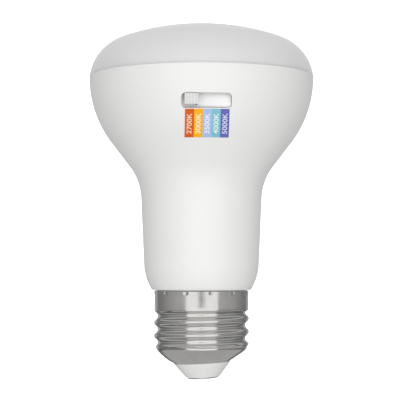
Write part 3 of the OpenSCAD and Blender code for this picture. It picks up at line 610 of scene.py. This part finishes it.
# ---- Bezel ----
# A brighter white ABS frame clipped behind the window. Its raised plug fills the slot and is the track
# that the knob runs on, so it is polished where the housing is grained.
floor_y, flange_y, cover_y, bezel_top, fit = -27.1, -25.4, -24.6, 76.6, 0.1
flange_x, flange_z0, track_corner = 8.5, 71.2, 0.9
bezel = block("bezel_track", (-slot_w / 2 + fit, floor_y, slot_z - slot_h / 2 + fit),
              (slot_w / 2 - fit, flange_y + 0.2, bezel_top))
edit(bezel)
bpy.ops.mesh.select_all(action="DESELECT")
bpy.ops.object.mode_set(mode="OBJECT")
for edge in bezel.data.edges:
    ends = [bezel.data.vertices[v].co for v in edge.vertices]
    edge.select = abs(ends[0].y - ends[1].y) > mm and ends[0].z < slot_z * mm
bpy.ops.object.mode_set(mode="EDIT")
bpy.ops.mesh.bevel(offset=track_corner * mm, segments=6)
bpy.ops.object.mode_set(mode="OBJECT")
flange = block("bezel_flange", (-flange_x, flange_y, flange_z0), (flange_x, cover_y, bezel_top))
combine(bezel, "UNION", flange)
bright_abs = finish("polished_white_ABS", "#FDFDFD", 0.3)
cloudy(bright_abs, "#FCFCFC", "#FFFFFF", 0.6, 0.003)
show(bezel, "lamp", bright_abs, "bright_white_plastic", "switch_bezel")


# ---- Knob ----
# A moulded ABS cap with four fine grooves for the fingertip. An arm rises behind the window's edge and
# bridges over the track to the slider's stem, so the knob shows no screw or pin. It is cored from below.
rest_x, knob_w, knob_h, knob_z, knob_face_y = -4.0, 3.5, 2.9, 74.4, -30.6
arm_front_y, arm_back_y, bridge_low, bridge_high = -27.95, -27.4, 76.9, 77.5
groove_w, groove_d, grooves = 0.3, 0.25, (-1.2, -0.4, 0.4, 1.2)
arm_half, stem_half, stem_y0, stem_y1, bridge_back_y = 1.2, 0.72, -24.02, -22.58, -22.0
skin, face_skin, core_h = 0.4, 0.6, 1.3
grip_z0, grip_z1 = knob_z - knob_h / 2, knob_z + knob_h / 2
knob = block("knob_cap", (rest_x - knob_w / 2, knob_face_y, grip_z0),
             (rest_x + knob_w / 2, arm_back_y, grip_z1))
edit(knob)
for groove in grooves:
    for edge_x in (-groove_w / 2, groove_w / 2):
        bpy.ops.mesh.select_all(action="SELECT")
        bpy.ops.mesh.bisect(plane_co=((rest_x + groove + edge_x) * mm, 0, 0), plane_no=(1, 0, 0))
bpy.ops.mesh.select_all(action="DESELECT")
bpy.ops.mesh.select_mode(type="FACE")
bpy.ops.object.mode_set(mode="OBJECT")
for face in knob.data.polygons:
    off = face.center.x / mm - rest_x
    in_groove = any(abs(off - groove) < groove_w / 2 for groove in grooves)
    face.select = in_groove and face.normal.y < -0.9
bpy.ops.object.mode_set(mode="EDIT")
bpy.ops.mesh.extrude_region_move(TRANSFORM_OT_translate={"value": (0, groove_d * mm, 0)})
bpy.ops.mesh.select_mode(type="VERT")
bpy.ops.object.mode_set(mode="OBJECT")
arm = block("arm", (rest_x - arm_half, arm_front_y, grip_z1 - 0.5),
            (rest_x + arm_half, arm_back_y, bridge_high))
bridge = block("bridge", (rest_x - arm_half, arm_front_y, bridge_low),
               (rest_x + arm_half, bridge_back_y, bridge_high))
stem_hole = block("stem_hole", (rest_x - stem_half, stem_y0, bridge_low - 1),
                  (rest_x + stem_half, stem_y1, bridge_high + 1))
combine(knob, "UNION", arm, bridge)
hollow = block("hollow", (rest_x - knob_w / 2 + skin, knob_face_y + face_skin, grip_z0 - 1),
               (rest_x + knob_w / 2 - skin, arm_back_y - skin, grip_z0 + core_h))
combine(knob, "DIFFERENCE", stem_hole, hollow)
apply(knob, "BEVEL", width=0.1 * mm, segments=3, limit_method="ANGLE", angle_limit=radians(40),
      use_clamp_overlap=True)

grained_abs = finish("fine_grained_white_ABS", "#E2E2E1", 0.42)
cloudy(grained_abs, "#E0E0DF", "#E5E5E4", 0.2, 0.006)
show(knob, "selector", grained_abs, "knob_plastic", "selector_knob")


# ---- Colour scale ----
# Five strips pad-printed under the window, one for each step of the knob, from warm to cool white, with
# the colour temperature of each in pale figures. The ink is satin and stands a little proud.
label_w, label_h, label_top, label_x, label_t, label_y = 11.6, 7.05, 71.9, 0.2, 0.06, -40
strip_w = label_w / 5
strip_inks = ["#DE5F00", "#FFB700", "#ADC4EE", "#82C6D4", "#676CBD"]
figures = ["2700K", "3000K", "3500K", "4000K", "5000K"]
figure_inks = ["#F6D9BE", "#FFEFC4", "#EFF4FD", "#E4F3F6", "#D9DBF2"]
figure_length, figure_height, figure_lift = 5.15, 1.35, 0.025


def wrap(piece, lift):
    """Lays a flat piece that stands in front of the housing back on its surface, lift mm above it."""
    apply(piece, "SHRINKWRAP", target=housing, wrap_method="PROJECT", use_project_y=True,
          use_positive_direction=True, use_negative_direction=False, offset=0)
    edit(piece)
    bpy.ops.transform.translate(value=(0, -lift * mm, 0))
    bpy.ops.object.mode_set(mode="OBJECT")


bpy.ops.object.select_all(action="DESELECT")
bpy.ops.mesh.primitive_grid_add(x_subdivisions=50, y_subdivisions=24, size=mm, rotation=(pi / 2, 0, 0),
                                location=(label_x * mm, label_y * mm, (label_top - label_h / 2) * mm))
label = bpy.context.object
label.name = "printed_colour_strips"
label.scale = (label_w, label_h, 1)
bpy.ops.object.transform_apply(location=True, rotation=True, scale=True)
wrap(label, label_t)
apply(label, "SOLIDIFY", thickness=label_t * mm, offset=-1)
edit(label)
bpy.ops.mesh.normals_make_consistent(inside=False)
bpy.ops.object.mode_set(mode="OBJECT")

strips = finish("pad_printed_ink", "#A9C0EA", 0.45, specular_ior_level=0.2)
place = add(strips, "TexCoord", None).outputs["Object"]
axes = add(strips, "SeparateXYZ", None, {"Vector": place})
across_label = add(strips, "MapRange", None, {"Value": axes.outputs["X"],
                                              "From Min": (label_x - label_w / 2) * mm,
                                              "From Max": (label_x + label_w / 2) * mm})
chart = add(strips, "ValToRGB", "Base Color", {"Fac": across_label.outputs["Result"]})
chart.color_ramp.interpolation = "CONSTANT"
for step, ink in enumerate(strip_inks):
    if step < 2:
        stop = chart.color_ramp.elements[step]
        stop.position = step / 5
    else:
        stop = chart.color_ramp.elements.new(step / 5)
    stop.color = linear(ink)
screen = add(strips, "TexNoise", None, {"Vector": place, "Scale": 1 / (0.12 * mm)})
add(strips, "Bump", "Normal", {"Height": screen.outputs["Fac"], "Distance": 0.003 * mm})
show(label, "lamp", strips, "printed_scale", "scale_label")

for step, (words, ink) in enumerate(zip(figures, figure_inks)):
    bpy.ops.object.select_all(action="DESELECT")
    bpy.ops.object.text_add()
    figure = bpy.context.object
    figure.data.body = words
    figure.data.size = 0.01
    figure.data.resolution_u = 6
    figure.data.offset = 0.0002
    bpy.ops.object.convert(target="MESH")
    figure = bpy.context.object
    figure.name = f"scale_figures_{words}"
    corners = [Vector(c) for c in figure.bound_box]
    low = Vector(map(min, *corners))
    high = Vector(map(max, *corners))
    size = high - low
    fit_in = Matrix.Diagonal((figure_length * mm / size.x, figure_height * mm / size.y, 1, 1))
    upright = Matrix(((0, -1, 0, 0), (0, 0, -1, 0), (1, 0, 0, 0), (0, 0, 0, 1)))
    centre = Vector((label_x + (step - 2) * strip_w, label_y, label_top - label_h / 2 - 0.1)) * mm
    figure.data.transform(Matrix.Translation(centre) @ upright @ fit_in
                          @ Matrix.Translation(-(low + high) / 2))
    edit(figure)
    bpy.ops.mesh.remove_doubles(threshold=0.001 * mm)
    bpy.ops.mesh.quads_convert_to_tris()
    bpy.ops.object.mode_set(mode="OBJECT")
    wrap(figure, label_t + figure_lift)
    apply(figure, "SOLIDIFY", thickness=figure_lift * mm, offset=-1)
    edit(figure)
    bpy.ops.mesh.normals_make_consistent(inside=False)
    bpy.ops.object.mode_set(mode="OBJECT")
    figure_ink = finish(f"pale_ink_{words}", ink, 0.35)
    cloudy(figure_ink, ink, ink, 0.12, 0.003)
    show(figure, "lamp", figure_ink, "printed_scale")


# ---- Floor, backdrop, lights and camera ----
# A white floor and a white wall all round, which only the camera sees, so that neither lights the bulb.
# The room gives the soft light: pale in front and to the sides, darker behind, and paler again at the back.
def glowing(name, base):
    """A new material that gives off light, and its shader, whose emission colour is still to be set."""
    material = bpy.data.materials.new(name)
    material.use_nodes = True
    shader = material.node_tree.nodes["Principled BSDF"]
    shader.inputs["Base Color"].default_value = linear(base)
    shader.inputs["Emission Strength"].default_value = 1.0
    return material, shader


def seen_only_by(piece, seen):
    """Hides a piece of the stage from every kind of ray but one."""
    for ray in ("camera", "diffuse", "glossy", "transmission", "volume_scatter", "shadow"):
        setattr(piece, f"visible_{ray}", ray == seen)


white_sweep, paper = glowing("evenly_lit_white_paper", "#FFFFFF")
paper.inputs["Emission Color"].default_value = linear("#FFFFFF")

bpy.ops.object.select_all(action="DESELECT")
bpy.ops.mesh.primitive_plane_add(size=6, location=(0, 0, -0.0002))
bpy.context.object.name = "studio_floor"
bpy.ops.mesh.primitive_uv_sphere_add(segments=48, ring_count=24, radius=3.5)
bpy.context.object.name = "studio_wall"
for sheet_of_paper in ("studio_floor", "studio_wall"):
    paper_sheet = bpy.data.objects[sheet_of_paper]
    paper_sheet.data.materials.append(white_sweep)
    seen_only_by(paper_sheet, "camera")


def greys_along(tree, split, axis, reach, stops):
    """A grey that goes by how far along one axis a direction points, from -reach to reach."""
    along_axis = tree.nodes.new("ShaderNodeMapRange")
    along_axis.inputs["From Min"].default_value = -reach
    along_axis.inputs["From Max"].default_value = reach
    tree.links.new(split.outputs[axis], along_axis.inputs["Value"])
    ramp = tree.nodes.new("ShaderNodeValToRGB")
    tree.links.new(along_axis.outputs["Result"], ramp.inputs["Fac"])
    for _ in stops[1:-1]:
        ramp.color_ramp.elements.new(0.5)
    for stop, (place_along, grey) in zip(ramp.color_ramp.elements, stops):
        stop.position = (place_along + 1) / 2
        stop.color = (grey, grey, grey, 1)
    return ramp.outputs["Color"]


def room_light(tree, source, reach, walls, share, ends, target):
    """Blends the greys of the room's walls, by Y, with those of its floor and ceiling, by Z."""
    facing = tree.nodes.new("ShaderNodeTexCoord")
    split = tree.nodes.new("ShaderNodeSeparateXYZ")
    tree.links.new(facing.outputs[source], split.inputs[0])
    blend = tree.nodes.new("ShaderNodeMix")
    blend.data_type = "RGBA"
    tree.links.new(greys_along(tree, split, "Z", reach, share), blend.inputs["Factor"])
    tree.links.new(greys_along(tree, split, "Y", reach, walls), blend.inputs[6])
    tree.links.new(greys_along(tree, split, "Z", reach, ends), blend.inputs[7])
    tree.links.new(blend.outputs[2], target)


world = bpy.data.worlds.new("studio_room")
bpy.context.scene.world = world
world.use_nodes = True
room_light(world.node_tree, "Generated", 1,
           [(-1, 0.47), (-0.4, 0.45), (0.0, 0.37), (0.36, 0.3), (0.72, 0.28), (1, 0.35)],
           [(-1, 1), (-0.6, 1), (-0.3, 0), (0.2, 0), (0.5, 1), (1, 1)],
           [(-1, 0.55), (0, 0.55), (0.3, 0.68), (1, 0.68)],
           world.node_tree.nodes["Background"].inputs["Color"])
world.cycles_visibility.glossy = False

# What polished metal sees of the room: a darker band over the floor and paler paper right underneath.
room_r = 3.2
bpy.ops.mesh.primitive_uv_sphere_add(segments=48, ring_count=24, radius=room_r)
mirror_room = bpy.context.object
mirror_room.name = "studio_reflections"
seen_in_metal, glow = glowing("room_seen_in_metal", "#000000")
room_light(seen_in_metal.node_tree, "Object", room_r,
           [(-1, 0.5), (-0.4, 0.48), (0.0, 0.38), (0.36, 0.27), (0.72, 0.22), (0.82, 0.5), (1, 0.55)],
           [(-1, 1), (-0.35, 1), (-0.15, 0), (0.15, 0), (0.35, 1), (1, 1)],
           [(-1, 0.5), (-0.5, 0.48), (-0.38, 0.09), (0.3, 0.09), (0.55, 0.5), (1, 0.6)],
           glow.inputs["Emission Color"])
mirror_room.data.materials.append(seen_in_metal)
seen_only_by(mirror_room, "glossy")


def card(name, place, width, height, grey):
    """An upright card that faces the bulb and shows only in what reflects it, in metres."""
    bpy.ops.mesh.primitive_plane_add(size=1, location=place, rotation=(pi / 2, 0, 0))
    piece = bpy.context.object
    piece.name = name
    piece.scale = (width, height, 1)
    bpy.ops.object.transform_apply(location=True, rotation=True, scale=True)
    surface, shader = glowing(name, "#000000")
    shader.inputs["Specular IOR Level"].default_value = 0
    shader.inputs["Emission Color"].default_value = (grey, grey, grey, 1)
    piece.data.materials.append(surface)
    seen_only_by(piece, "glossy")


# The front panel as metal shows it, with the camera and its stand as a dark smudge in its middle.
card("front_panel_in_metal", (-0.05, -1.0, -0.05), 1.66, 1.9, 1.2)
card("stand_in_metal", (-0.022, -0.46, 0.04), 0.15, 0.12, 0.85)
card("camera_in_metal", (-0.03, -0.45, 0.04), 0.06, 0.09, 0.5)


def panel(name, place, aim, width, height, radiance):
    """A soft panel of an even radiance, facing a point, in metres. Polished metal doesn't show it."""
    bpy.ops.object.light_add(type="AREA", location=place)
    light = bpy.context.object
    light.name = name
    light.rotation_euler = (Vector(aim) - Vector(place)).to_track_quat("-Z", "Y").to_euler()
    light.data.shape = "RECTANGLE"
    light.data.size = width
    light.data.size_y = height
    light.data.energy = radiance * pi * width * height
    light.visible_glossy = False


panel("front_panel", (-0.05, -1.0, -0.05), (0, 0, 0.05), 1.66, 1.3, 1.08)
panel("back_fill", (0, 1.2, 0.25), (0, 0, 0.05), 0.5, 0.5, 3.5)

# The camera stands 413 mm away, 2.7 degrees round to the left and below the bulb's middle.
target = Vector((-0.4, 0, 49.5)) * mm
camera_far, camera_turn, camera_z, half_view = 413, radians(2.7), 31.5, radians(7.65)
stand = Vector((-camera_far * sin(camera_turn), -camera_far * cos(camera_turn), camera_z)) * mm
bpy.ops.object.camera_add(location=stand, rotation=(target - stand).to_track_quat("-Z", "Y").to_euler())
camera = bpy.context.object
camera.name = "studio_camera"
camera.data.lens = camera.data.sensor_width / 2 / tan(half_view)
camera.data.clip_start = 0.01
bpy.context.scene.camera = camera
bpy.context.scene.view_settings.view_transform = "Standard"
